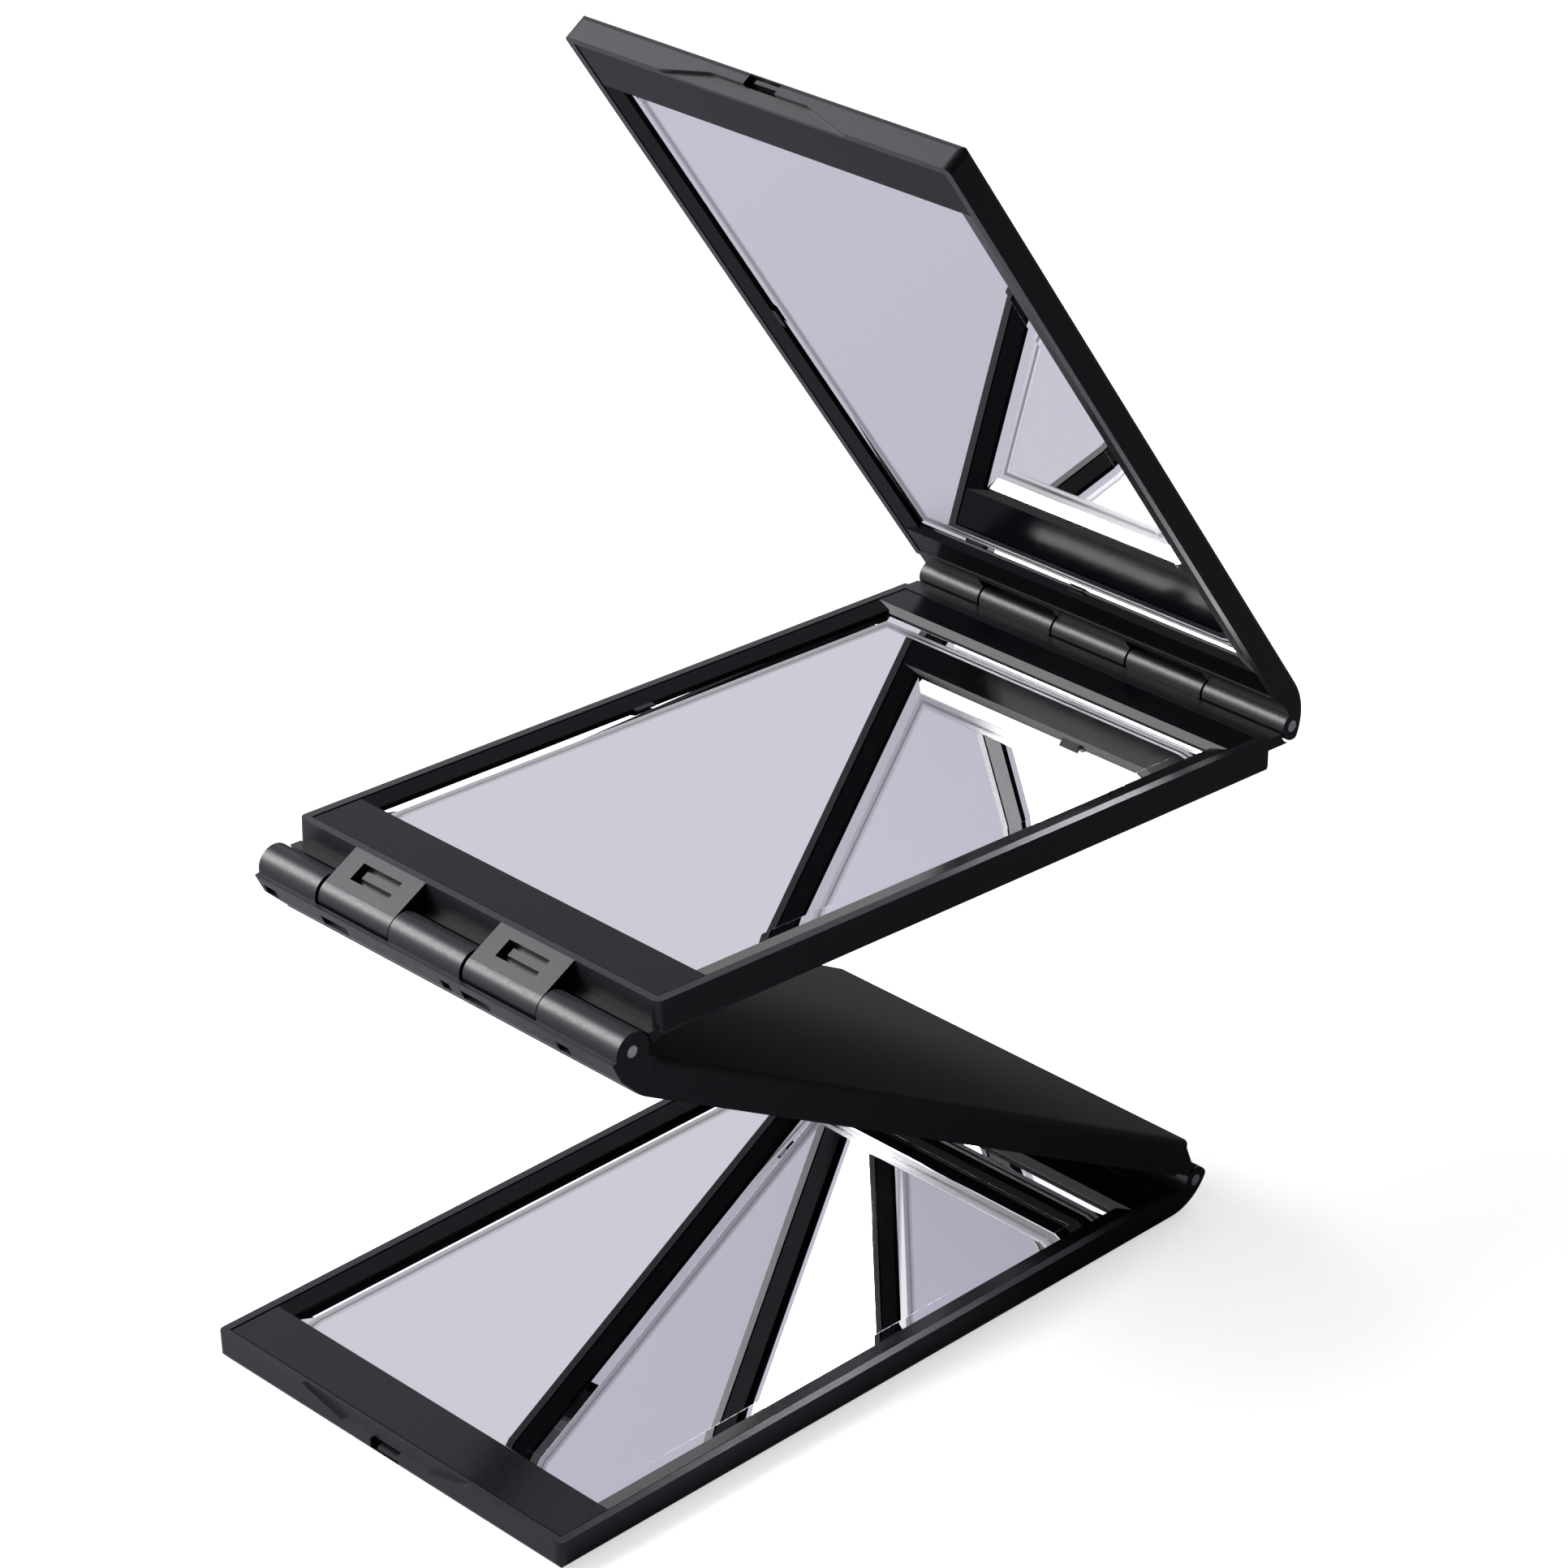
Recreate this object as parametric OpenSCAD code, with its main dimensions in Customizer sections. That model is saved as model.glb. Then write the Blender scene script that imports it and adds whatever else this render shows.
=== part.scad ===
// Four-way travel mirror: four framed mirrors joined in a zigzag by three pinned hinges.
// The base lies on its back with the hinge pins along Y. +X runs from the free end of the
// base to the lower hinge, +Y away from the near side and +Z up. The origin is the middle
// of the underside of the base. Each leaf is drawn in one leaf frame: x along the leaf from
// the pin of its face hinge, y along that pin, z out of the mirror.

/* [Leaves] */
// Width of each leaf along the hinge pins
leaf_w = 62; // [56:1:90]
// Length of the base and of the lid between their end walls
outer_len = 100; // [80:1:140]
// Length of the lower and of the upper leaf between their end walls
inner_len = 98.5; // [80:0.5:140]
// Gap between two leaves that are folded together
parting_gap = 0.2; // [0.1:0.05:0.4]
// Radius of the upright corners at the end of a case
corner_r = 1; // [0.5:0.1:2]
// Radius along the back edges of a case
edge_r = 0.8; // [0.4:0.1:0.9]

/* [Unfolding] */
// Angle between the base and the lower leaf
lower_fold = 30.2; // [10:0.1:90]
// Angle between the lower leaf and the upper leaf
middle_fold = 27; // [10:0.1:90]
// Angle between the upper leaf and the lid
top_fold = 54.4; // [10:0.1:120]

/* [Case and bezel] */
// Thickness of the wall round a case
rim_t = 1.1; // [0.9:0.1:1.8]
// Thickness of the floor of a case
floor_t = 1; // [0.9:0.1:2]
// Width of the groove between the rim and the bezel
bezel_gap = 0.2; // [0.1:0.05:0.4]
// Depth of the bezel's face below the rim
bezel_drop = 0.1; // [0.05:0.05:0.4]
// Border between the end wall and the mirror opening, at the end away from the face hinge
end_border = 8.7; // [5:0.1:14]
// Border along each long side
side_border = 3.6; // [2.6:0.1:8]
// Flat border beside the face hinge
hinge_border = 5.9; // [4:0.1:10]
// Width of the sloping lip between that border and the mirror
lip_w = 0.8; // [0.4:0.1:4]
// Depth to which the border slopes down along the long sides of the mirror
side_slope = 0.5; // [0.1:0.05:0.6]
// Chamfer at the end of the opening away from the face hinge
opening_chamfer = 0.35; // [0.1:0.05:0.6]

/* [Mirror] */
// Thickness of the glass
glass_t = 1.4; // [1.2:0.1:3]
// Depth of the glass below the rim
mirror_recess = 0.9; // [0.7:0.1:1.6]
// Width of the bevel round the glass
bevel_w = 1.7; // [0.8:0.1:4]
// Depth of that bevel at the edge of the glass
bevel_d = 0.35; // [0.1:0.05:0.8]
// Gap between the glass and the bezel
glass_gap = 0.1; // [0.05:0.05:0.3]
// Thickness of the adhesive pad under the glass
pad_t = 0.3; // [0.2:0.1:0.8]
// Distance of the pad's edge from the edge of the glass
pad_inset = 1.5; // [0.5:0.1:6]
// Thickness of the board that packs the glass up in the thicker inner leaves
board_t = 1; // [0.6:0.1:3]
// Length of a nib that holds the edge of the glass down
nib_len = 3; // [1.5:0.1:8]
// Reach of a nib over the glass
nib_reach = 0.8; // [0.4:0.1:1.5]
// Thickness of a nib
nib_t = 0.25; // [0.15:0.05:0.4]
// Gap between a nib and the glass
nib_gap = 0.05; // [0:0.01:0.1]

/* [Hinges] */
// Diameter of a hinge pin
pin_d = 1.5; // [1.2:0.1:1.8]
// Radial clearance of a pin in its knuckles
pin_fit = 0.05; // [0.02:0.01:0.09]
// Depth of a pin's end below the side of the leaf
pin_inset = 0.1; // [0.05:0.05:0.5]
// Length of the knuckle at the near side
near_knuckle_w = 13.4; // [10:0.1:15]
// Length of each of the three knuckles in the middle
mid_knuckle_w = 12.7; // [10:0.1:13]
// Gap between neighbouring knuckles
knuckle_gap = 0.35; // [0.2:0.05:0.6]
// Gap between a knuckle and the wall that wraps round it
turn_gap = 0.3; // [0.2:0.05:0.5]

/* [Face hinges] */
// Distance from the pin to the end walls on a hinge in the plane of the mirrors
face_setback = 4.2; // [3.6:0.1:6]
// Diameter of the knuckles on such a hinge
face_barrel_d = 3.5; // [3.2:0.1:4.2]
// Thickness of the curved wall that carries the back of an outer case up to the knuckles
spine_t = 1; // [0.6:0.1:1.4]
// Depth of the knuckle webs below the mirror side
web_drop = 0.4; // [0.2:0.1:0.8]
// Height left free under the knuckle webs of an inner case
web_foot = 1.6; // [0.8:0.1:2.4]
// Depth of the shelf between an inner case and the knuckles, below the pin
shelf_low = 1.9; // [1.2:0.1:2.4]

/* [Back hinge] */
// Distance from the pin to the end walls on the hinge in the plane of the backs
back_setback = 3.6; // [3.2:0.1:5]
// Diameter of the lower leaf's knuckles on that hinge
back_barrel_d = 4.8; // [4:0.1:5.4]
// Diameter of the upper leaf's arms round that pin
arm_d = 4.4; // [3.8:0.1:5]
// Height of the ledge behind the lower leaf's knuckles above the back
ledge_h = 1.5; // [0.8:0.1:2.4]
// Distance of the skirt under the knuckles from their surface
skirt_step = 0.55; // [0.3:0.05:0.9]
// Slope of the skirt against the leaf
skirt_slope = 35; // [30:1:40]
// Distance of the skirt's nose from the mirror side
skirt_nose = 1.1; // [0.6:0.1:1.6]
// Depth of the notches in the skirt's nose
notch_depth = 1; // [0.4:0.1:1.2]
// Height of those notches along the skirt
notch_h = 1.5; // [0.8:0.1:2]

/* [Clip slots] */
// Length of the clip slot in each arm, along the pin
arm_slot_w = 6.8; // [4:0.1:9]
// Height of that slot
arm_slot_h = 2.5; // [1.8:0.1:3]
// Distance of that slot from the edge of the mirror side
arm_slot_down = 1.35; // [0.8:0.05:2]
// Depth of that slot
arm_slot_depth = 1.2; // [0.6:0.1:1.6]
// Width of the tongue in that slot
arm_tongue_w = 1.1; // [0.6:0.1:1.2]
// Length of the clip slot in the end wall of an outer case
end_slot_w = 5; // [3:0.1:8]
// Height of that slot
end_slot_h = 1.4; // [1:0.1:1.6]
// Width of the tongue in that slot
end_tongue_w = 0.5; // [0.3:0.1:0.6]
// Gap between the end of a tongue and the end of its slot
tongue_gap = 1.4; // [0.6:0.1:2]

/* [Thumb scoop] */
// Width of the scoop's flat bottom
scoop_w = 15.4; // [8:0.1:20]
// Width of each sloping end of the scoop
scoop_ramp = 7.2; // [3:0.1:9]
// Height of the scoop below the mirror side
scoop_h = 1.75; // [1:0.05:2]
// Depth of the scoop in the end wall
scoop_d = 0.6; // [0.3:0.1:0.7]

/* [Hidden] */
$fn = 64;

case_colour = [0.15, 0.145, 0.165];
bezel_colour = [0.22, 0.21, 0.24];
mirror_colour = [0.78, 0.77, 0.82];
pad_colour = [0.9, 0.89, 0.84];
board_colour = [0.55, 0.5, 0.43];
pin_colour = [0.8, 0.8, 0.82];

// Overlap that fuses a web into the wall behind it
bite = 0.3;
// Overshoot of a cut past the surface that it opens
past = 1;

half_w = leaf_w / 2;
outer_t = floor_t + pad_t + glass_t + mirror_recess;
inner_t = outer_t + board_t;

// Heights in the leaf frame, where z = 0 is the plane of the face hinge's pin
rim_z = -parting_gap / 2;
bezel_z = rim_z - bezel_drop;
glass_z = rim_z - mirror_recess;
pad_z = glass_z - glass_t;
under_pad_z = pad_z - pad_t;
function back_z(t) = rim_z - t;

// Place of the back hinge's pin in the frame of an inner leaf
back_pin_x = face_setback + inner_len + back_setback;
back_pin_z = back_z(inner_t) - parting_gap / 2;

pin_r = pin_d / 2;
face_r = face_barrel_d / 2;
back_r = back_barrel_d / 2;
arm_r = arm_d / 2;

// Knuckles are numbered from the near side, 0 to 4
EVEN = [0, 2, 4];
ODD = [1, 3];
function knuckle_start(i) = -half_w + (i == 0 ? 0 : near_knuckle_w + (i - 1) * mid_knuckle_w);
function knuckle_end(i) = i == 4 ? half_w : knuckle_start(i + 1);
function knuckle_low(i) = knuckle_start(i) + (i == 0 ? 0 : knuckle_gap / 2);
function knuckle_high(i) = knuckle_end(i) - (i == 4 ? 0 : knuckle_gap / 2);

// Point where the line from q touches a circle of radius r round the origin, on the side
// given by turn (1 or -1)
function touch(q, r, turn) =
    let (a = atan2(q.y, q.x) + turn * acos(r / norm(q)))
    [r * cos(a), r * sin(a)];

// Back corner where the curved spine of an outer case starts, its radius and its centre:
// the arc runs on from the flat back and touches the knuckles from outside
spine_low = -back_z(outer_t);
spine_r = (face_setback ^ 2 + spine_low ^ 2 - face_r ^ 2) / (2 * (spine_low - face_r));
spine_c = [face_setback, spine_r - spine_low];
spine_touch = -spine_c / norm(spine_c) * face_r;

// Outline of the back hinge's parts, from its pin, y towards the mirror side
rim_y = rim_z - back_pin_z;
skirt_r = back_r + skirt_step;
skirt_nose_y = rim_y - skirt_nose;
skirt_nose_x = (skirt_r - skirt_nose_y * cos(skirt_slope)) / sin(skirt_slope);
skirt_top_y = (skirt_r - back_r * sin(skirt_slope)) / cos(skirt_slope);
arm_root = [-back_setback, rim_y];
arm_touch = touch(arm_root, arm_r, -1);
arm_slope = atan2(arm_root.y - arm_touch.y, arm_touch.x - arm_root.x);

// Notches in the skirt's nose: distance of the middle from the near side, and length
NOTCHES = [[9.1, 2.1], [23.9, 4.8], [29, 1.6], [48.6, 4.6], [60.2, 2.2]];

// Extrudes an outline of the x-z plane along y
module along_y(y0, y1) {
    translate([0, y1, 0])
        rotate([90, 0, 0])
            linear_extrude(y1 - y0)
                children();
}

// Extrudes an outline of the y-z plane along x
module along_x(x0, x1) {
    translate([x0, 0, 0])
        rotate([90, 0, 90])
            linear_extrude(x1 - x0)
                children();
}

// Box between two corners
module block(low, high) {
    translate(low)
        cube(high - low);
}

// Rectangle whose two corners at its right end are round
module end_rounded(x0, x1, w, r) {
    translate([x0, -w / 2])
        square([x1 - x0 - r, w]);
    translate([x0, -w / 2 + r])
        square([x1 - x0, w - 2 * r]);
    for (side = [-1, 1])
        translate([x1 - r, side * (w / 2 - r)])
            circle(r);
}

// Cross-section of a case, with its two back edges round
module across(t) {
    low = back_z(t);
    translate([-half_w, low + edge_r])
        square([leaf_w, t - edge_r]);
    translate([-half_w + edge_r, low])
        square([leaf_w - 2 * edge_r, t]);
    for (side = [-1, 1])
        translate([side * (half_w - edge_r), low + edge_r])
            circle(edge_r);
}

// Side view of a case's flat part, with the back edge at its end round
module flat_side(x0, x1, t) {
    low = back_z(t);
    translate([x0, low])
        square([x1 - x0 - edge_r, t]);
    translate([x0, low + edge_r])
        square([x1 - x0, t - edge_r]);
    translate([x1 - edge_r, low + edge_r])
        circle(edge_r);
}

// Solid case before it is hollowed
module case_body(x0, x1, t) {
    intersection() {
        translate([0, 0, back_z(t)])
            linear_extrude(t)
                end_rounded(x0, x1, leaf_w, corner_r);
        along_x(x0, x1)
            across(t);
        along_y(-half_w, half_w)
            flat_side(x0, x1, t);
    }
}

// Hollow of the tray, from the floor up
module tray(len, t) {
    inner_w = half_w - rim_t;
    block([face_setback + rim_t, -inner_w, back_z(t) + floor_t],
          [face_setback + len - rim_t, inner_w, past]);
}

module pin_bore(x, z) {
    translate([x, 0, z])
        along_y(-half_w - past, half_w + past)
            circle(pin_r + pin_fit);
}

// Room round the pin for the knuckles of the other leaf
module turning_room(numbers, r) {
    for (i = numbers)
        along_y(knuckle_start(i) - knuckle_gap / 2, knuckle_end(i) + knuckle_gap / 2)
            circle(r + turn_gap);
}

// U-shaped slot round a tongue that is fixed at the near end. The slot is cut into the
// plane z = 0 and reaches from x = 0 along x
module clip_slot(w, h, depth, tongue_w) {
    difference() {
        block([0, -w / 2, -depth], [h, w / 2, past]);
        block([(h - tongue_w) / 2, -w / 2 - past, -depth - past],
              [(h + tongue_w) / 2, w / 2 - tongue_gap, 0]);
    }
}

// Face hinge of an outer case: knuckle, and the web that fills the curved back behind it
module ear_outline() {
    reach = 1.5 * spine_touch;
    circle(face_r);
    polygon([
        [0, 0], reach, [reach.x, -spine_low - past], [face_setback + bite, -spine_low - past],
        [face_setback + bite, -web_drop], [0, -web_drop]
    ]);
}

// Curved wall that carries the back of an outer case up to the knuckles
module spine_outline() {
    reach = 1.5 * spine_touch;
    difference() {
        polygon([
            [0, 0], reach, [reach.x, -spine_low - past], [face_setback + bite, -spine_low - past],
            [face_setback + bite, 0]
        ]);
        translate(spine_c)
            circle(spine_r - spine_t, $fn = 128);
    }
}

// Drum that gives the curved back its outer face, round at the near and at the far side
module spine_drum() {
    translate([spine_c.x, 0, spine_c.y])
        rotate([90, 0, 0])
            rotate_extrude($fn = 128) {
                translate([0, -half_w])
                    square([spine_r - edge_r, leaf_w]);
                translate([0, -half_w + edge_r])
                    square([spine_r, leaf_w - 2 * edge_r]);
                for (side = [-1, 1])
                    translate([spine_r - edge_r, side * (half_w - edge_r)])
                        circle(edge_r);
            }
}

// Thumb scoop in the end wall, open towards the mirror side
module scoop(end_x) {
    top = scoop_w / 2 + scoop_ramp;
    along_x(end_x - scoop_d, end_x + past)
        polygon([
            [-top, past], [-top, rim_z], [-scoop_w / 2, rim_z - scoop_h],
            [scoop_w / 2, rim_z - scoop_h], [top, rim_z], [top, past]
        ]);
}

module outer_case() {
    end_x = face_setback + outer_len;
    slot_z = rim_z - scoop_h - end_slot_h;
    difference() {
        union() {
            case_body(face_setback, end_x, outer_t);
            intersection() {
                spine_drum();
                union() {
                    difference() {
                        along_y(-half_w, half_w)
                            spine_outline();
                        turning_room(ODD, face_r);
                    }
                    for (i = EVEN)
                        along_y(knuckle_low(i), knuckle_high(i))
                            ear_outline();
                }
            }
        }
        tray(outer_len, outer_t);
        pin_bore(0, 0);
        scoop(end_x);
        translate([end_x, 0, slot_z])
            rotate([0, 90, 0])
                mirror([1, 0, 0])
                    clip_slot(end_slot_w, end_slot_h, rim_t, end_tongue_w);
    }
}

// Knuckle of an inner case on its face hinge, with the web behind it
module inner_knuckle_outline() {
    foot = [face_setback, back_z(inner_t) + web_foot];
    circle(face_r);
    polygon([
        [0, 0], touch(foot, face_r, -1), foot, [face_setback + bite, foot.y],
        [face_setback + bite, -web_drop], [0, -web_drop]
    ]);
}

// Shelf that closes the gap between an inner case and the knuckles of the outer leaf. Its
// underside runs back to the end wall at the height foot
module shelf_outline(foot) {
    polygon([
        [0, -web_drop], [0, -shelf_low], [shelf_low, -shelf_low], [face_setback, foot],
        [face_setback + bite, foot], [face_setback + bite, -web_drop]
    ]);
}

// Tray of an inner leaf with its face hinge knuckles, without its back hinge
module inner_case(shelf_foot) {
    difference() {
        union() {
            case_body(face_setback, face_setback + inner_len, inner_t);
            difference() {
                along_y(-half_w, half_w)
                    shelf_outline(shelf_foot);
                turning_room(EVEN, face_r);
            }
            for (i = ODD)
                along_y(knuckle_low(i), knuckle_high(i))
                    inner_knuckle_outline();
        }
        tray(inner_len, inner_t);
        pin_bore(0, 0);
    }
}

// Web of the lower leaf on the back hinge, with the sloping skirt below the knuckles
module skirt_outline() {
    root_x = -back_setback - bite;
    polygon([
        [root_x, rim_y - bezel_drop], [-back_setback, rim_y - bezel_drop],
        [skirt_nose_x, skirt_nose_y], [back_r, skirt_top_y], [0, 0],
        [0, parting_gap / 2], [root_x, parting_gap / 2]
    ]);
}

// Notches along the nose of the skirt
module skirt_notches() {
    for (notch = NOTCHES)
        translate([skirt_nose_x, notch[0] - half_w, skirt_nose_y])
            rotate([0, skirt_slope, 0])
                translate([notch_h / 2, 0, 0])
                    cube([notch_h, notch[1], 2 * notch_depth], center = true);
}

module lower_leaf_back_hinge() {
    difference() {
        union() {
            difference() {
                along_y(-half_w, half_w)
                    skirt_outline();
                turning_room(ODD, arm_r);
            }
            for (i = EVEN)
                along_y(knuckle_low(i), knuckle_high(i))
                    circle(back_r);
        }
        skirt_notches();
        pin_bore(0, 0);
    }
}

module upper_leaf_back_hinge() {
    root_x = -back_setback - bite;
    difference() {
        union() {
            difference() {
                block([root_x, -half_w, parting_gap / 2], [-pin_r, half_w, ledge_h]);
                turning_room(EVEN, back_r);
                turning_room(ODD, arm_r - turn_gap);
            }
            for (i = ODD)
                along_y(knuckle_low(i), knuckle_high(i)) {
                    circle(arm_r);
                    polygon([
                        [root_x, rim_y], arm_root, arm_touch, [0, 0],
                        [0, parting_gap / 2], [root_x, parting_gap / 2]
                    ]);
                }
        }
        for (i = ODD)
            translate([arm_root.x, (knuckle_low(i) + knuckle_high(i)) / 2, arm_root.y])
                rotate([0, arm_slope, 0])
                    translate([arm_slot_down, 0, 0])
                        clip_slot(arm_slot_w, arm_slot_h, arm_slot_depth, arm_tongue_w);
        pin_bore(0, 0);
    }
}

// Opening for the mirror: its ends along the leaf and its half width
function open_x0() = face_setback + hinge_border + lip_w;
function open_x1(len) = face_setback + len - end_border;
open_y = half_w - side_border;

// Frame round the mirror, which fills the tray down to its floor
module bezel(len, t) {
    x0 = open_x0();
    x1 = open_x1(len);
    low = back_z(t) + floor_t;
    edge = rim_t + bezel_gap;
    y1 = half_w - edge;
    difference() {
        block([face_setback + edge, -y1, low], [face_setback + len - edge, y1, bezel_z]);
        intersection() {
            along_y(-half_w, half_w)
                polygon([
                    [x0, low - past], [x0, glass_z], [x0 - lip_w, bezel_z], [x0 - lip_w, past],
                    [x1 + opening_chamfer, past], [x1 + opening_chamfer, bezel_z],
                    [x1, bezel_z - opening_chamfer], [x1, low - past]
                ]);
            along_x(0, face_setback + len)
                polygon([
                    [-open_y, low - past], [-open_y, bezel_z - side_slope], [-y1, bezel_z],
                    [-y1, past], [y1, past], [y1, bezel_z], [open_y, bezel_z - side_slope],
                    [open_y, low - past]
                ]);
        }
    }
}

// Nib over the glass in the middle of the far side
module side_nib(len) {
    mid_x = (open_x0() + open_x1(len)) / 2;
    low = glass_z + nib_gap;
    translate([mid_x, open_y - nib_reach / 2 + bite / 2, low + nib_t / 2])
        cube([nib_len, nib_reach + bite, nib_t], center = true);
}

// Nib over the glass in the middle of the hinge side
module hinge_nib() {
    low = glass_z + nib_gap;
    translate([open_x0() + nib_reach / 2 - bite, 0, low + nib_t / 2])
        cube([nib_reach + 2 * bite, nib_len, nib_t], center = true);
}

// Glass with a bevel all round its face
module glass(len) {
    x0 = open_x0() + glass_gap;
    x1 = open_x1(len) - glass_gap;
    y1 = open_y - glass_gap;
    intersection() {
        along_y(-y1, y1)
            polygon([
                [x0, pad_z], [x0, glass_z - bevel_d], [x0 + bevel_w, glass_z],
                [x1 - bevel_w, glass_z], [x1, glass_z - bevel_d], [x1, pad_z]
            ]);
        along_x(x0, x1)
            polygon([
                [-y1, pad_z], [-y1, glass_z - bevel_d], [-y1 + bevel_w, glass_z],
                [y1 - bevel_w, glass_z], [y1, glass_z - bevel_d], [y1, pad_z]
            ]);
    }
}

// Flat sheet under the glass, from low to high, inset from the edge of the glass
module sheet(len, low, high, inset) {
    edge = glass_gap + inset;
    block([open_x0() + edge, -open_y + edge, low], [open_x1(len) - edge, open_y - edge, high]);
}

module mirror_pad(len) {
    sheet(len, under_pad_z, pad_z, pad_inset);
}

module backing_board() {
    sheet(inner_len, back_z(inner_t) + floor_t, under_pad_z, 0);
}

module hinge_pin(x, z) {
    translate([x, 0, z])
        along_y(-half_w + pin_inset, half_w - pin_inset)
            circle(pin_r);
}

// Leaf frames: each leaf is folded shut on the one below, then opened by its fold
module place_base() {
    translate([face_setback + outer_len / 2, 0, -back_z(outer_t)])
        mirror([1, 0, 0])
            children();
}

module place_lower_leaf() {
    place_base()
        rotate([0, -lower_fold, 0])
            mirror([0, 0, 1])
                children();
}

module place_upper_leaf() {
    place_lower_leaf()
        translate([back_pin_x, 0, back_pin_z])
            rotate([0, -middle_fold, 0])
                mirror([0, 0, 1])
                    translate([-back_pin_x, 0, -back_pin_z])
                        children();
}

module place_lid() {
    place_upper_leaf()
        rotate([0, -top_fold, 0])
            mirror([0, 0, 1])
                children();
}

module base_case() {
    color(case_colour)
        place_base()
            outer_case();
}

module base_bezel() {
    color(bezel_colour)
        place_base()
            bezel(outer_len, outer_t);
}

module base_mirror() {
    color(mirror_colour)
        place_base()
            glass(outer_len);
}

module base_mirror_pad() {
    color(pad_colour)
        place_base()
            mirror_pad(outer_len);
}

module lower_leaf_case() {
    color(case_colour)
        place_lower_leaf() {
            inner_case(back_z(inner_t) + edge_r);
            translate([back_pin_x, 0, back_pin_z])
                lower_leaf_back_hinge();
        }
}

module lower_leaf_bezel() {
    color(bezel_colour)
        place_lower_leaf()
            bezel(inner_len, inner_t);
}

module lower_leaf_mirror() {
    color(mirror_colour)
        place_lower_leaf()
            glass(inner_len);
}

module lower_leaf_mirror_pad() {
    color(pad_colour)
        place_lower_leaf()
            mirror_pad(inner_len);
}

module lower_leaf_backing_board() {
    color(board_colour)
        place_lower_leaf()
            backing_board();
}

module upper_leaf_case() {
    color(case_colour)
        place_upper_leaf() {
            inner_case(-shelf_low);
            translate([back_pin_x, 0, back_pin_z])
                upper_leaf_back_hinge();
        }
}

module upper_leaf_bezel() {
    color(bezel_colour)
        place_upper_leaf() {
            bezel(inner_len, inner_t);
            side_nib(inner_len);
        }
}

module upper_leaf_mirror() {
    color(mirror_colour)
        place_upper_leaf()
            glass(inner_len);
}

module upper_leaf_mirror_pad() {
    color(pad_colour)
        place_upper_leaf()
            mirror_pad(inner_len);
}

module upper_leaf_backing_board() {
    color(board_colour)
        place_upper_leaf()
            backing_board();
}

module lid_case() {
    color(case_colour)
        place_lid()
            outer_case();
}

module lid_bezel() {
    color(bezel_colour)
        place_lid() {
            bezel(outer_len, outer_t);
            side_nib(outer_len);
            hinge_nib();
        }
}

module lid_mirror() {
    color(mirror_colour)
        place_lid()
            glass(outer_len);
}

module lid_mirror_pad() {
    color(pad_colour)
        place_lid()
            mirror_pad(outer_len);
}

module lower_hinge_pin() {
    color(pin_colour)
        place_base()
            hinge_pin(0, 0);
}

module middle_hinge_pin() {
    color(pin_colour)
        place_lower_leaf()
            hinge_pin(back_pin_x, back_pin_z);
}

module top_hinge_pin() {
    color(pin_colour)
        place_lid()
            hinge_pin(0, 0);
}

base_case();
base_bezel();
base_mirror();
base_mirror_pad();
lower_leaf_case();
lower_leaf_bezel();
lower_leaf_mirror();
lower_leaf_mirror_pad();
lower_leaf_backing_board();
upper_leaf_case();
upper_leaf_bezel();
upper_leaf_mirror();
upper_leaf_mirror_pad();
upper_leaf_backing_board();
lid_case();
lid_bezel();
lid_mirror();
lid_mirror_pad();
lower_hinge_pin();
middle_hinge_pin();
top_hinge_pin();
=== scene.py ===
"""Four-leaf travel mirror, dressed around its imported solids. Lengths are in metres."""
import math

import bpy
from mathutils import Matrix, Vector


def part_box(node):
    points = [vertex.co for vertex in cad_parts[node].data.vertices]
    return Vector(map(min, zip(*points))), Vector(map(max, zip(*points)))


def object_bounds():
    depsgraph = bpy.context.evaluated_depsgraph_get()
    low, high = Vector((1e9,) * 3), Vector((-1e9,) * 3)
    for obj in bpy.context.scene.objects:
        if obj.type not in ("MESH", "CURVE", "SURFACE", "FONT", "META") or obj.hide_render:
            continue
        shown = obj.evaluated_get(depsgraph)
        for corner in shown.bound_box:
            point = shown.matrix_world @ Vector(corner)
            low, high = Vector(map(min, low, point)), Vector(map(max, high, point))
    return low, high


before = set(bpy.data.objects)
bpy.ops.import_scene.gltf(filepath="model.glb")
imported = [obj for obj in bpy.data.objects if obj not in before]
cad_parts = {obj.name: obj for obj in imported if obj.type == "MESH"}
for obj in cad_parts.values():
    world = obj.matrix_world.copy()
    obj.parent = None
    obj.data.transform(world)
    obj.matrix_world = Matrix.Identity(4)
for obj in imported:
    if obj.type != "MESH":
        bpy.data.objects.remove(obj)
cad_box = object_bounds()

# Camera
# The photograph was taken from the left of the near side, a little above the object. The
# direction, distance and focal length were fitted to the corners of the four leaves.
camera_turn = math.radians(42.272)
camera_rise = math.radians(28.177)
camera_roll = math.radians(-2.286)
camera_distance = 0.617
look_at = Vector((0.00692, -0.01059, 0.07017))
focal_px = 6641
picture_px = 1932
sensor_width = 36

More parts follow.
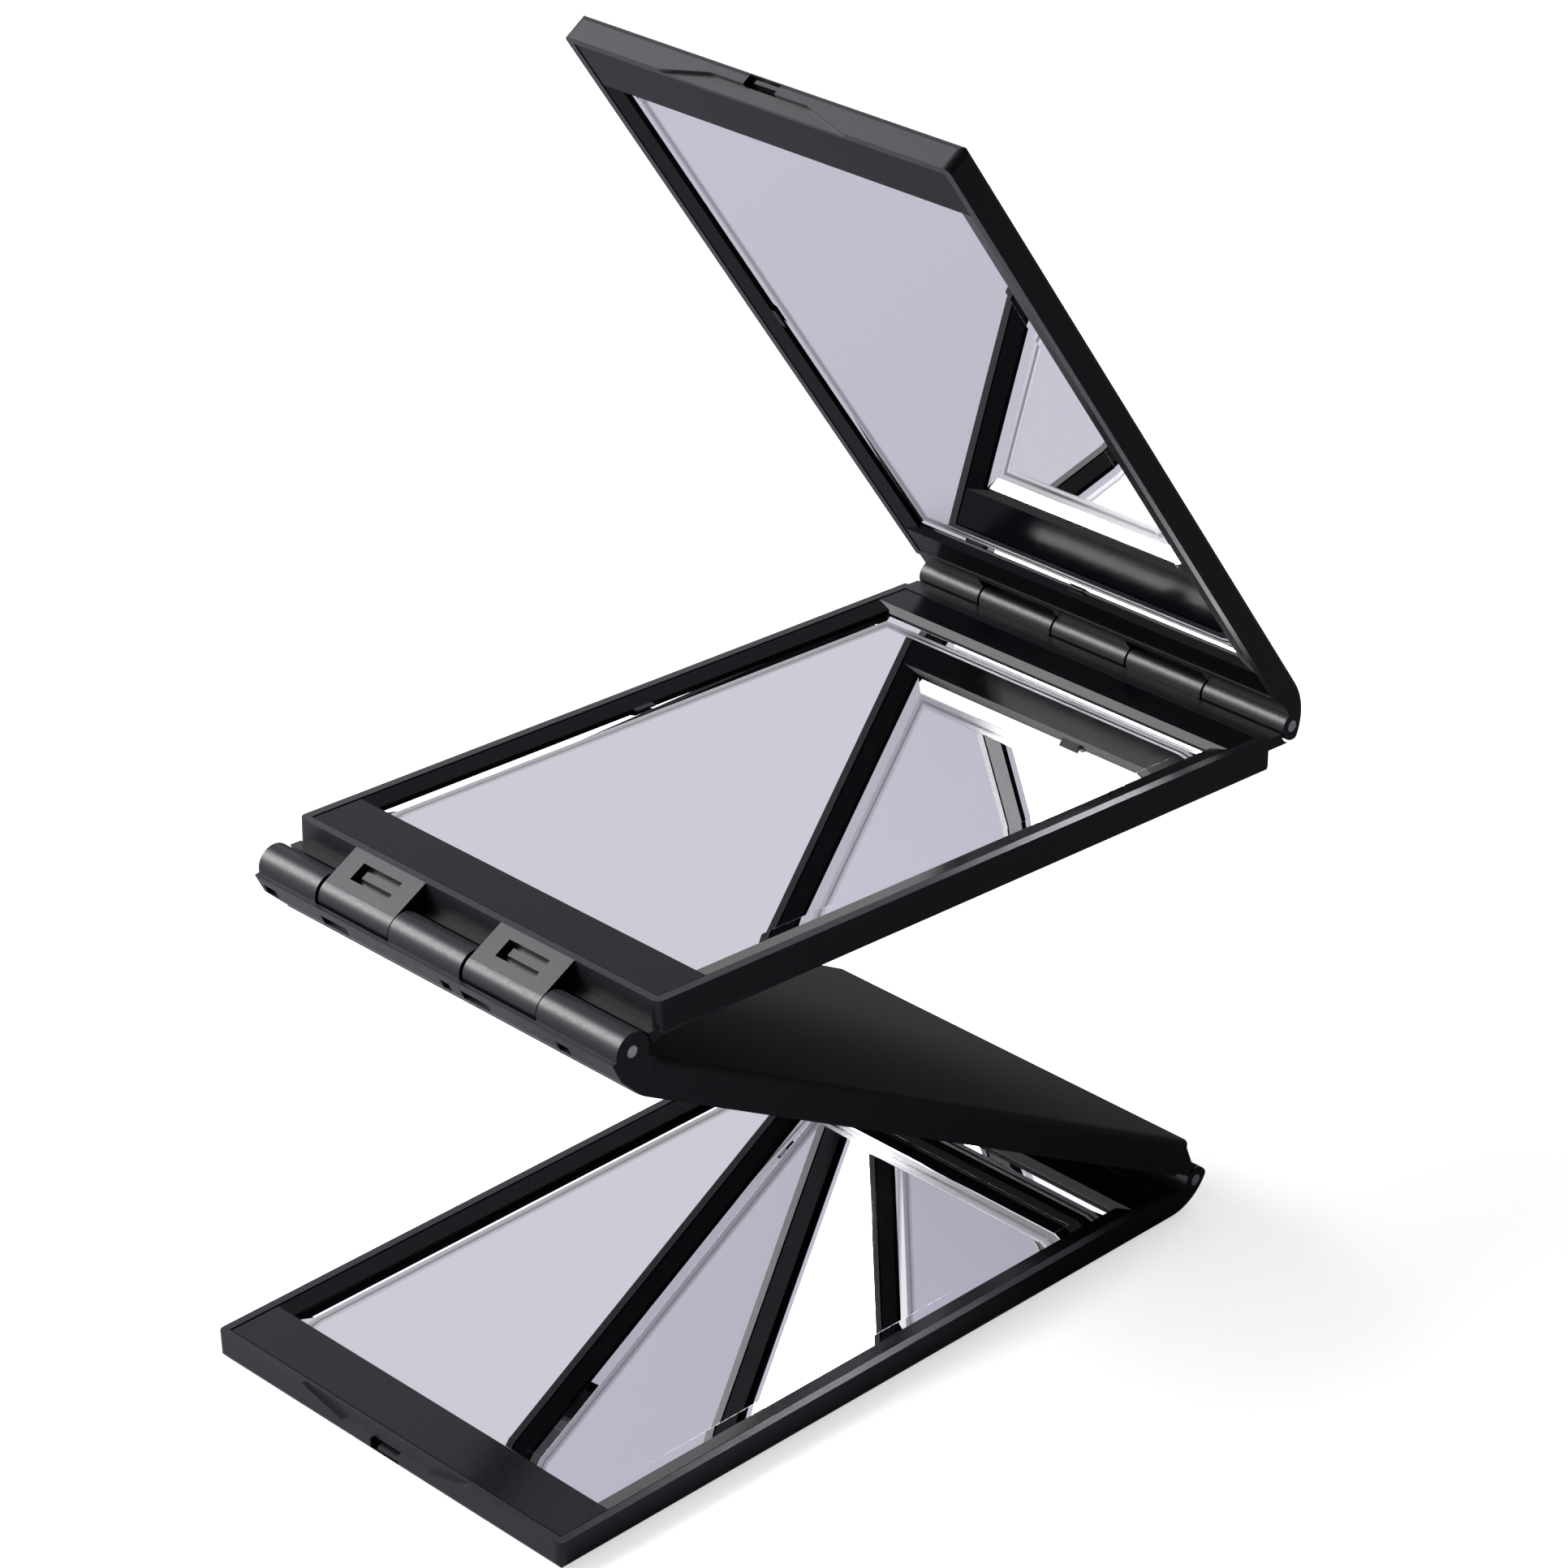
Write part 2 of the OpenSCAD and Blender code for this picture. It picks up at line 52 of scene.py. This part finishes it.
towards_camera = Vector((
    -math.sin(camera_turn) * math.cos(camera_rise),
    -math.cos(camera_turn) * math.cos(camera_rise),
    math.sin(camera_rise),
))
level_right = Vector((math.cos(camera_turn), -math.sin(camera_turn), 0))
level_up = towards_camera.cross(level_right)
camera_right = level_right * math.cos(camera_roll) + level_up * math.sin(camera_roll)
camera_up = level_up * math.cos(camera_roll) - level_right * math.sin(camera_roll)
bpy.ops.object.camera_add(location=look_at + towards_camera * camera_distance)
camera = bpy.context.object
camera.name = "camera"
turned = Matrix((camera_right, camera_up, towards_camera)).transposed()
camera.rotation_euler = turned.to_euler()
camera.data.sensor_width = sensor_width
camera.data.lens = focal_px / picture_px * sensor_width
camera.data.clip_start = 0.01
camera.data.clip_end = 20
bpy.context.scene.camera = camera

# Table
# A pale lavender table top under the object, smooth and dull. The camera sees it white like
# the photograph's background, with a soft shadow, and the mirrors see its paint. Its right
# side is painted darker, a painted shade that stands for the dim part of the room.
table_size = 6
table_drop = 0.0002
table_seen_white = (0.8, 0.8, 0.8, 1)
table_lift = 0.62
table_paint = (0.45, 0.436, 0.49, 1)
# Painted shade: the darker colour that the table's right side is painted
table_painted_shade = (0.15, 0.146, 0.165, 1)
shade_compass = 115
shade_from = 0.028
shade_to = 0.045
bpy.ops.mesh.primitive_plane_add(size=table_size, location=(0, 0, -table_drop))
table = bpy.context.object
table.name = "table"
paint = bpy.data.materials.new("table_paint")
paint.use_nodes = True
nodes, links = paint.node_tree.nodes, paint.node_tree.links
nodes.clear()
place = nodes.new("ShaderNodeTexCoord")
# Painted shade mask: blends the table's paint towards the darker colour on its right side
shade_way = nodes.new("ShaderNodeVectorMath")
shade_way.operation = "DOT_PRODUCT"
shade_way.inputs[1].default_value = (
    math.sin(math.radians(shade_compass)), math.cos(math.radians(shade_compass)), 0)
dim = nodes.new("ShaderNodeMapRange")
dim.interpolation_type = "SMOOTHSTEP"
dim.inputs["From Min"].default_value = shade_from
dim.inputs["From Max"].default_value = shade_to
painted = nodes.new("ShaderNodeMix")
painted.data_type = "RGBA"
painted.inputs["A"].default_value = table_paint
painted.inputs["B"].default_value = table_painted_shade
path = nodes.new("ShaderNodeLightPath")
tone = nodes.new("ShaderNodeMix")
tone.data_type = "RGBA"
tone.inputs["B"].default_value = table_seen_white
matt = nodes.new("ShaderNodeBsdfDiffuse")
lift = nodes.new("ShaderNodeEmission")
lift_strength = nodes.new("ShaderNodeMath")
lift_strength.operation = "MULTIPLY"
lift_strength.inputs[1].default_value = table_lift
together = nodes.new("ShaderNodeAddShader")
out = nodes.new("ShaderNodeOutputMaterial")
links.new(place.outputs["Object"], shade_way.inputs[0])
links.new(shade_way.outputs["Value"], dim.inputs["Value"])
links.new(dim.outputs["Result"], painted.inputs["Factor"])
links.new(painted.outputs["Result"], tone.inputs["A"])
links.new(path.outputs["Is Camera Ray"], tone.inputs["Factor"])
links.new(tone.outputs["Result"], matt.inputs["Color"])
links.new(path.outputs["Is Camera Ray"], lift_strength.inputs[0])
links.new(lift_strength.outputs["Value"], lift.inputs["Strength"])
links.new(matt.outputs["BSDF"], together.inputs[0])
links.new(lift.outputs["Emission"], together.inputs[1])
links.new(together.outputs["Shader"], out.inputs["Surface"])
table.data.materials.append(paint)


# Studio
# A pale lavender room with a wide white window wall at its left rear, a small white screen at
# its right rear, an unlit doorway on its right and its unlit end behind the camera. The camera
# sees the room white, the mirrors see it as it is.
def compass_way(compass, rise):
    """Direction from a compass angle, clockwise from +Y seen from above, and a rise"""
    compass, rise = math.radians(compass), math.radians(rise)
    return Vector((
        math.sin(compass) * math.cos(rise), math.cos(compass) * math.cos(rise), math.sin(rise)))


def sky_patch(nodes, links, way, edge, core):
    """Mask of a round patch of the room: 0 at edge degrees from its middle, 1 inside core"""
    look = nodes.new("ShaderNodeTexCoord")
    near = nodes.new("ShaderNodeVectorMath")
    near.operation = "DOT_PRODUCT"
    near.inputs[1].default_value = way
    patch = nodes.new("ShaderNodeMapRange")
    patch.interpolation_type = "SMOOTHSTEP"
    patch.inputs["From Min"].default_value = math.cos(math.radians(edge))
    patch.inputs["From Max"].default_value = math.cos(math.radians(core))
    links.new(look.outputs["Generated"], near.inputs[0])
    links.new(near.outputs["Value"], patch.inputs["Value"])
    return patch.outputs["Result"]


room_paint = (0.655, 0.64, 0.72, 1)
room_dim = (0.05, 0.049, 0.056, 1)
room_seen_white = (1, 1, 1, 1)
window_wall = (1.3, 1.3, 1.33, 1)
world = bpy.data.worlds.new("studio")
bpy.context.scene.world = world
world.use_nodes = True
nodes, links = world.node_tree.nodes, world.node_tree.links
nodes.clear()
dimmed = nodes.new("ShaderNodeMix")
dimmed.data_type = "RGBA"
dimmed.inputs["A"].default_value = room_paint
dimmed.inputs["B"].default_value = room_dim
lit = nodes.new("ShaderNodeMix")
lit.data_type = "RGBA"
lit.inputs["B"].default_value = window_wall
path = nodes.new("ShaderNodeLightPath")
plain = nodes.new("ShaderNodeBackground")
seen = nodes.new("ShaderNodeBackground")
seen.inputs["Color"].default_value = room_seen_white
choose = nodes.new("ShaderNodeMixShader")
out = nodes.new("ShaderNodeOutputWorld")
front = sky_patch(nodes, links, compass_way(compass=150, rise=25), edge=92, core=66)
door = sky_patch(nodes, links, compass_way(compass=64, rise=2), edge=26, core=16)
unlit = nodes.new("ShaderNodeMath")
unlit.operation = "MAXIMUM"
links.new(front, unlit.inputs[0])
links.new(door, unlit.inputs[1])
links.new(unlit.outputs["Value"], dimmed.inputs["Factor"])
window = sky_patch(nodes, links, compass_way(compass=-58, rise=24), edge=37, core=30)
screen = sky_patch(nodes, links, compass_way(compass=37, rise=9), edge=12, core=8)
either = nodes.new("ShaderNodeMath")
either.operation = "MAXIMUM"
links.new(window, either.inputs[0])
links.new(screen, either.inputs[1])
links.new(either.outputs["Value"], lit.inputs["Factor"])
links.new(dimmed.outputs["Result"], lit.inputs["A"])
links.new(lit.outputs["Result"], plain.inputs["Color"])
links.new(path.outputs["Is Camera Ray"], choose.inputs["Fac"])
links.new(plain.outputs["Background"], choose.inputs[1])
links.new(seen.outputs["Background"], choose.inputs[2])
links.new(choose.outputs["Shader"], out.inputs["Surface"])


def soft_lamp(name, way, distance, width, height, radiance):
    """Rectangular lamp that faces the middle of the object"""
    middle = Vector((0, 0, cad_box[1][2] / 2))
    bpy.ops.object.light_add(type="AREA", location=middle + way * distance)
    lamp = bpy.context.object
    lamp.name = name
    lamp.data.shape = "RECTANGLE"
    lamp.data.size = width
    lamp.data.size_y = height
    lamp.data.energy = radiance * math.pi * width * height
    lamp.data.color = lamp_tint
    lamp.rotation_euler = way.to_track_quat("Z", "Y").to_euler()


lamp_tint = (0.985, 0.975, 1)
soft_lamp("window_lamp", compass_way(compass=-36, rise=37),
          distance=1.3, width=0.8, height=0.7, radiance=13)
soft_lamp("right_lamp", compass_way(compass=84, rise=47),
          distance=1.2, width=0.6, height=0.6, radiance=1.9)
bpy.context.scene.view_settings.view_transform = "Standard"


# Cases
# The four trays with their hinge knuckles, injection moulded in black ABS. The tool was
# spark eroded, so the outside has a fine even grain and only a dull sheen, and the broad backs
# are coarser and duller than the sides.
def speckle_group():
    """Node group: fine grain height and slow mottling, both from the piece's own coordinates"""
    group = bpy.data.node_groups.new("speckle", "ShaderNodeTree")
    for name in ("Grain Scale", "Mottle Scale"):
        group.interface.new_socket(name=name, in_out="INPUT", socket_type="NodeSocketFloat")
    for name in ("Grain", "Mottle"):
        group.interface.new_socket(name=name, in_out="OUTPUT", socket_type="NodeSocketFloat")
    nodes, links = group.nodes, group.links
    fine_detail, slow_detail = 3, 2
    entry = nodes.new("NodeGroupInput")
    leave = nodes.new("NodeGroupOutput")
    place = nodes.new("ShaderNodeTexCoord")
    fine = nodes.new("ShaderNodeTexNoise")
    fine.inputs["Detail"].default_value = fine_detail
    slow = nodes.new("ShaderNodeTexNoise")
    slow.inputs["Detail"].default_value = slow_detail
    for texture in (fine, slow):
        links.new(place.outputs["Object"], texture.inputs["Vector"])
    links.new(entry.outputs["Grain Scale"], fine.inputs["Scale"])
    links.new(entry.outputs["Mottle Scale"], slow.inputs["Scale"])
    links.new(fine.outputs["Fac"], leave.inputs["Grain"])
    links.new(slow.outputs["Fac"], leave.inputs["Mottle"])
    return group


speckle = speckle_group()


def moulded_plastic(name, dark, light, rough_low, rough_high, grain_scale, grain_height, specular):
    """Black plastic: its colour drifts a little, its roughness and bump follow the grain"""
    mottle_scale = 90
    noise_low, noise_high = 0.3, 0.7
    material = bpy.data.materials.new(name)
    material.use_nodes = True
    nodes, links = material.node_tree.nodes, material.node_tree.links
    shader = nodes["Principled BSDF"]
    shader.inputs["Specular IOR Level"].default_value = specular
    grain = nodes.new("ShaderNodeGroup")
    grain.node_tree = speckle
    grain.inputs["Grain Scale"].default_value = grain_scale
    grain.inputs["Mottle Scale"].default_value = mottle_scale
    tone = nodes.new("ShaderNodeMix")
    tone.data_type = "RGBA"
    tone.inputs["A"].default_value = (*dark, 1)
    tone.inputs["B"].default_value = (*light, 1)
    rough = nodes.new("ShaderNodeMapRange")
    rough.inputs["From Min"].default_value = noise_low
    rough.inputs["From Max"].default_value = noise_high
    rough.inputs["To Min"].default_value = rough_low
    rough.inputs["To Max"].default_value = rough_high
    bump = nodes.new("ShaderNodeBump")
    bump.inputs["Distance"].default_value = grain_height
    bump.inputs["Strength"].default_value = 1
    links.new(grain.outputs["Mottle"], tone.inputs["Factor"])
    links.new(grain.outputs["Grain"], rough.inputs["Value"])
    links.new(grain.outputs["Grain"], bump.inputs["Height"])
    links.new(tone.outputs["Result"], shader.inputs["Base Color"])
    links.new(rough.outputs["Result"], shader.inputs["Roughness"])
    links.new(bump.outputs["Normal"], shader.inputs["Normal"])
    return material


def dress(node, material):
    """Gives a solid its one material"""
    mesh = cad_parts[node].data
    mesh.materials.clear()
    mesh.materials.append(material)


def glass_back(leaf):
    """Way that the silvered back of a leaf's glass faces: its back is larger than its front"""
    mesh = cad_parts[leaf + "_mirror"].data
    return max(mesh.polygons, key=lambda face: face.area).normal.copy()


def roughen_back(material, way, roughness):
    """Gives the faces that look the given way a roughness of their own"""
    side_cosine, back_cosine = 0.9, 0.98
    nodes, links = material.node_tree.nodes, material.node_tree.links
    rough = nodes["Principled BSDF"].inputs["Roughness"]
    place = nodes.new("ShaderNodeTexCoord")
    backward = nodes.new("ShaderNodeVectorMath")
    backward.operation = "DOT_PRODUCT"
    backward.inputs[1].default_value = way
    back = nodes.new("ShaderNodeMapRange")
    back.inputs["From Min"].default_value = side_cosine
    back.inputs["From Max"].default_value = back_cosine
    coarser = nodes.new("ShaderNodeMix")
    coarser.inputs["B"].default_value = roughness
    links.new(place.outputs["Normal"], backward.inputs[0])
    links.new(backward.outputs["Value"], back.inputs["Value"])
    links.new(back.outputs["Result"], coarser.inputs["Factor"])
    links.new(rough.links[0].from_socket, coarser.inputs["A"])
    links.new(coarser.outputs["Result"], rough)


LEAVES = ["base", "lower_leaf", "upper_leaf", "lid"]
for leaf in LEAVES:
    grained_black = moulded_plastic(
        leaf + "_grained_black", dark=(0.0034, 0.0031, 0.0047), light=(0.0056, 0.0052, 0.0074),
        rough_low=0.34, rough_high=0.44, grain_scale=3200, grain_height=0.000005, specular=0.5)
    roughen_back(grained_black, glass_back(leaf), roughness=0.85)
    dress(leaf + "_case", grained_black)

# Bezels
# A thin frame pressed into each tray round the glass, moulded in the same black as the trays but
# with a satin face. It is blacker and smoother than the trays, and shows the room only faintly.
# Its gloss differs from leaf to leaf as painted light and shade, for where each frame stands.
# Painted light and shade: one gloss for each leaf's frame, set by how bright that frame looks in
# the light
BEZEL_GLOSS_AND_SHADE = {"base": 0.34, "lower_leaf": 0.05, "upper_leaf": 0.14, "lid": 0.06}
for leaf in LEAVES:
    dress(leaf + "_bezel", moulded_plastic(
        leaf + "_satin_black", dark=(0.0022, 0.002, 0.003), light=(0.0036, 0.0034, 0.0046),
        rough_low=0.13, rough_high=0.2, grain_scale=2000, grain_height=0.0000006,
        specular=BEZEL_GLOSS_AND_SHADE[leaf]))


# Mirrors
# Float glass 1.4 mm thick, silvered on its back, its edges ground and polished to a bevel. The
# bevel bends what it shows inwards on the far and hinge sides and ends there in ground lines,
# which are rougher and also painted darker, a painted reflection.
FACE_PIN = {"base": "lower_hinge_pin", "lower_leaf": "lower_hinge_pin",
            "upper_leaf": "top_hinge_pin", "lid": "top_hinge_pin"}
HINGE_BEND = {"base": 0.5, "lower_leaf": 0, "upper_leaf": 0.57, "lid": 0.77}
FAR_BEND = {"base": 0, "lower_leaf": 0.77, "upper_leaf": 0.77, "lid": 0.77}
FLAT_BEND = 0.206
BEVEL_WIDTH = 0.0017
BEVEL_SPAN = 0.005
# Distance from the edge, share of the silver's brightness, a painted reflection, and dullness
# along the ground lines
PAINTED_REFLECTION_AND_GROUND_LINES = [(0.0017, 1, 0), (0.0019, 0.62, 1), (0.0023, 0.62, 1), (0.0025, 0.4, 0.5),
                (0.0027, 0.4, 0.5), (0.0029, 0.7, 1), (0.0031, 0.7, 1), (0.0034, 1, 0)]
GROUND_ROUGHNESS = 0.5
SILVER = (0.93, 0.927, 0.937)
SMEAR_SCALE = 60
SMEAR_DETAIL = 4
SMEAR_FROM = 0.55
SMEAR_TO = 0.8
SMEAR_ROUGHNESS = 0.03


def glass_plan(leaf):
    """Middle of a leaf's glass, the direction in it towards the face hinge, its half sizes"""
    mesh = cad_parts[leaf + "_mirror"].data
    hingeward = Vector((0, 1, 0)).cross(glass_back(leaf))
    pin_low, pin_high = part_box(FACE_PIN[leaf])
    lengths = [vertex.co.dot(hingeward) for vertex in mesh.vertices]
    if ((Vector(pin_low) + Vector(pin_high)) / 2).dot(hingeward) < sum(lengths) / len(lengths):
        hingeward = -hingeward
        lengths = [-length for length in lengths]
    widths = [vertex.co.y for vertex in mesh.vertices]
    middle = mesh.vertices[0].co.copy()
    middle += hingeward * ((max(lengths) + min(lengths)) / 2 - middle.dot(hingeward))
    middle.y = (max(widths) + min(widths)) / 2
    return middle, hingeward, (max(lengths) - min(lengths)) / 2, (max(widths) - min(widths)) / 2


def glass_place_group():
    """Node group: how far a point lies inside the four sides of the glass"""
    group = bpy.data.node_groups.new("glass_place", "ShaderNodeTree")
    for name in ("Middle", "Hingeward"):
        group.interface.new_socket(name=name, in_out="INPUT", socket_type="NodeSocketVector")
    for name in ("Half Length", "Half Width"):
        group.interface.new_socket(name=name, in_out="INPUT", socket_type="NodeSocketFloat")
    for name in ("From Hinge", "From End", "From Far", "From Near"):
        group.interface.new_socket(name=name, in_out="OUTPUT", socket_type="NodeSocketFloat")
    nodes, links = group.nodes, group.links
    entry = nodes.new("NodeGroupInput")
    leave = nodes.new("NodeGroupOutput")
    place = nodes.new("ShaderNodeTexCoord")
    from_middle = nodes.new("ShaderNodeVectorMath")
    from_middle.operation = "SUBTRACT"
    hingeward = nodes.new("ShaderNodeVectorMath")
    hingeward.operation = "DOT_PRODUCT"
    farward = nodes.new("ShaderNodeSeparateXYZ")
    links.new(place.outputs["Object"], from_middle.inputs[0])
    links.new(entry.outputs["Middle"], from_middle.inputs[1])
    links.new(from_middle.outputs["Vector"], hingeward.inputs[0])
    links.new(entry.outputs["Hingeward"], hingeward.inputs[1])
    links.new(from_middle.outputs["Vector"], farward.inputs["Vector"])
    for name, source, half, way in (
            ("From Hinge", hingeward.outputs["Value"], "Half Length", -1),
            ("From End", hingeward.outputs["Value"], "Half Length", 1),
            ("From Far", farward.outputs["Y"], "Half Width", -1),
            ("From Near", farward.outputs["Y"], "Half Width", 1)):
        inset = nodes.new("ShaderNodeMath")
        inset.operation = "MULTIPLY_ADD"
        inset.inputs[1].default_value = way
        links.new(source, inset.inputs[0])
        links.new(entry.outputs[half], inset.inputs[2])
        links.new(inset.outputs["Value"], leave.inputs[name])
    return group


glass_place = glass_place_group()


def silvered_glass(name, plan, hinge_bend, far_bend):
    """Mirror glass: bright silver, its bevel and the rough lines inside it, painted darker as a
    painted reflection
    """
    middle, hingeward, half_length, half_width = plan
    material = bpy.data.materials.new(name)
    material.use_nodes = True
    nodes, links = material.node_tree.nodes, material.node_tree.links
    shader = nodes["Principled BSDF"]
    shader.inputs["Metallic"].default_value = 1
    where = nodes.new("ShaderNodeGroup")
    where.node_tree = glass_place
    where.inputs["Middle"].default_value = middle
    where.inputs["Hingeward"].default_value = hingeward
    where.inputs["Half Length"].default_value = half_length
    where.inputs["Half Width"].default_value = half_width
    total = None
    for side, bend in (("From Hinge", hinge_bend), ("From End", FLAT_BEND),
                       ("From Far", far_bend), ("From Near", FLAT_BEND)):
        height = nodes.new("ShaderNodeMapRange")
        height.inputs["From Max"].default_value = BEVEL_WIDTH
        height.inputs["To Min"].default_value = BEVEL_WIDTH * bend
        height.inputs["To Max"].default_value = 0
        links.new(where.outputs[side], height.inputs["Value"])
        if total is None:
            total = height.outputs["Result"]
            continue
        higher = nodes.new("ShaderNodeMath")
        higher.operation = "MAXIMUM"
        links.new(total, higher.inputs[0])
        links.new(height.outputs["Result"], higher.inputs[1])
        total = higher.outputs["Value"]
    bump = nodes.new("ShaderNodeBump")
    bump.inputs["Distance"].default_value = 1
    links.new(total, bump.inputs["Height"])
    links.new(bump.outputs["Normal"], shader.inputs["Normal"])
    nearest = nodes.new("ShaderNodeMath")
    nearest.operation = "MINIMUM"
    links.new(where.outputs["From Hinge"], nearest.inputs[0])
    links.new(where.outputs["From Far"], nearest.inputs[1])
    span = nodes.new("ShaderNodeMapRange")
    span.inputs["From Max"].default_value = BEVEL_SPAN
    tone = nodes.new("ShaderNodeValToRGB")
    ramp = tone.color_ramp
    ramp.elements[0].color = (*SILVER, 1)
    ramp.elements[1].color = (*SILVER, 1)
    # Painted reflection: the silver is painted darker in lines near the hinge and far sides
    for distance, share, ground in PAINTED_REFLECTION_AND_GROUND_LINES:
        stop = ramp.elements.new(distance / BEVEL_SPAN)
        stop.color = (*(part * share for part in SILVER), 1 - ground)
    links.new(nearest.outputs["Value"], span.inputs["Value"])
    links.new(span.outputs["Result"], tone.inputs["Fac"])
    links.new(tone.outputs["Color"], shader.inputs["Base Color"])
    place = nodes.new("ShaderNodeTexCoord")
    smear = nodes.new("ShaderNodeTexNoise")
    smear.inputs["Scale"].default_value = SMEAR_SCALE
    smear.inputs["Detail"].default_value = SMEAR_DETAIL
    polish = nodes.new("ShaderNodeMapRange")
    polish.inputs["From Min"].default_value = SMEAR_FROM
    polish.inputs["From Max"].default_value = SMEAR_TO
    polish.inputs["To Min"].default_value = 0
    polish.inputs["To Max"].default_value = SMEAR_ROUGHNESS
    links.new(place.outputs["Object"], smear.inputs["Vector"])
    links.new(smear.outputs["Fac"], polish.inputs["Value"])
    dullness = nodes.new("ShaderNodeMapRange")
    dullness.inputs["To Min"].default_value = GROUND_ROUGHNESS
    dullness.inputs["To Max"].default_value = 0
    rougher = nodes.new("ShaderNodeMath")
    rougher.operation = "MAXIMUM"
    links.new(tone.outputs["Alpha"], dullness.inputs["Value"])
    links.new(dullness.outputs["Result"], rougher.inputs[0])
    links.new(polish.outputs["Result"], rougher.inputs[1])
    links.new(rougher.outputs["Value"], shader.inputs["Roughness"])
    return material


for leaf in LEAVES:
    dress(leaf + "_mirror", silvered_glass(
        leaf + "_silvered_glass", glass_plan(leaf), HINGE_BEND[leaf], FAR_BEND[leaf]))


# Pads
# A sheet of white adhesive foam tape under each glass. Only its edge can ever be seen.
def foam_tape():
    """Cream foam with open cells"""
    skin, pore = (0.8, 0.78, 0.7, 1), (0.66, 0.64, 0.56, 1)
    cell_scale = 4000
    cell_depth = 0.00003
    material = bpy.data.materials.new("foam_tape")
    material.use_nodes = True
    nodes, links = material.node_tree.nodes, material.node_tree.links
    shader = nodes["Principled BSDF"]
    shader.inputs["Roughness"].default_value = 0.9
    cells = nodes.new("ShaderNodeTexVoronoi")
    cells.inputs["Scale"].default_value = cell_scale
    place = nodes.new("ShaderNodeTexCoord")
    tone = nodes.new("ShaderNodeMix")
    tone.data_type = "RGBA"
    tone.inputs["A"].default_value = skin
    tone.inputs["B"].default_value = pore
    bump = nodes.new("ShaderNodeBump")
    bump.inputs["Distance"].default_value = cell_depth
    links.new(place.outputs["Object"], cells.inputs["Vector"])
    links.new(cells.outputs["Distance"], tone.inputs["Factor"])
    links.new(cells.outputs["Distance"], bump.inputs["Height"])
    links.new(tone.outputs["Result"], shader.inputs["Base Color"])
    links.new(bump.outputs["Normal"], shader.inputs["Normal"])
    return material


tape = foam_tape()
for leaf in LEAVES:
    dress(leaf + "_mirror_pad", tape)


# Backing boards
# Grey-brown chipboard that packs the glass up in the two thicker leaves.
def packing_board():
    """Pressed fibre board with flecks"""
    fibre, fleck = (0.3, 0.25, 0.19, 1), (0.45, 0.39, 0.3, 1)
    fibre_scale, fleck_scale = 1500, 300
    fibre_height = 0.00004
    material = bpy.data.materials.new("packing_board")
    material.use_nodes = True
    nodes, links = material.node_tree.nodes, material.node_tree.links
    shader = nodes["Principled BSDF"]
    shader.inputs["Roughness"].default_value = 0.85
    grain = nodes.new("ShaderNodeGroup")
    grain.node_tree = speckle
    grain.inputs["Grain Scale"].default_value = fibre_scale
    grain.inputs["Mottle Scale"].default_value = fleck_scale
    tone = nodes.new("ShaderNodeMix")
    tone.data_type = "RGBA"
    tone.inputs["A"].default_value = fibre
    tone.inputs["B"].default_value = fleck
    bump = nodes.new("ShaderNodeBump")
    bump.inputs["Distance"].default_value = fibre_height
    links.new(grain.outputs["Mottle"], tone.inputs["Factor"])
    links.new(grain.outputs["Grain"], bump.inputs["Height"])
    links.new(tone.outputs["Result"], shader.inputs["Base Color"])
    links.new(bump.outputs["Normal"], shader.inputs["Normal"])
    return material


board = packing_board()
for leaf in ("lower_leaf", "upper_leaf"):
    dress(leaf + "_backing_board", board)


# Hinge pins
# Bright drawn steel wire, cut to length, one through the five knuckles of each hinge.
def drawn_steel():
    """Steel with fine lines along the pin"""
    dull, bright = (0.84, 0.84, 0.86, 1), (0.96, 0.96, 0.97, 1)
    line_scale = 9000
    line_stretch = 0.02
    rough_low, rough_high = 0.45, 0.6
    material = bpy.data.materials.new("drawn_steel")
    material.use_nodes = True
    nodes, links = material.node_tree.nodes, material.node_tree.links
    shader = nodes["Principled BSDF"]
    shader.inputs["Metallic"].default_value = 1
    place = nodes.new("ShaderNodeTexCoord")
    stretch = nodes.new("ShaderNodeMapping")
    stretch.inputs["Scale"].default_value = (1, line_stretch, 1)
    lines = nodes.new("ShaderNodeTexNoise")
    lines.inputs["Scale"].default_value = line_scale
    tone = nodes.new("ShaderNodeMix")
    tone.data_type = "RGBA"
    tone.inputs["A"].default_value = dull
    tone.inputs["B"].default_value = bright
    rough = nodes.new("ShaderNodeMapRange")
    rough.inputs["To Min"].default_value = rough_low
    rough.inputs["To Max"].default_value = rough_high
    links.new(place.outputs["Object"], stretch.inputs["Vector"])
    links.new(stretch.outputs["Vector"], lines.inputs["Vector"])
    links.new(lines.outputs["Fac"], tone.inputs["Factor"])
    links.new(lines.outputs["Fac"], rough.inputs["Value"])
    links.new(tone.outputs["Result"], shader.inputs["Base Color"])
    links.new(rough.outputs["Result"], shader.inputs["Roughness"])
    return material


steel = drawn_steel()
for hinge in ("lower", "middle", "top"):
    dress(hinge + "_hinge_pin", steel)
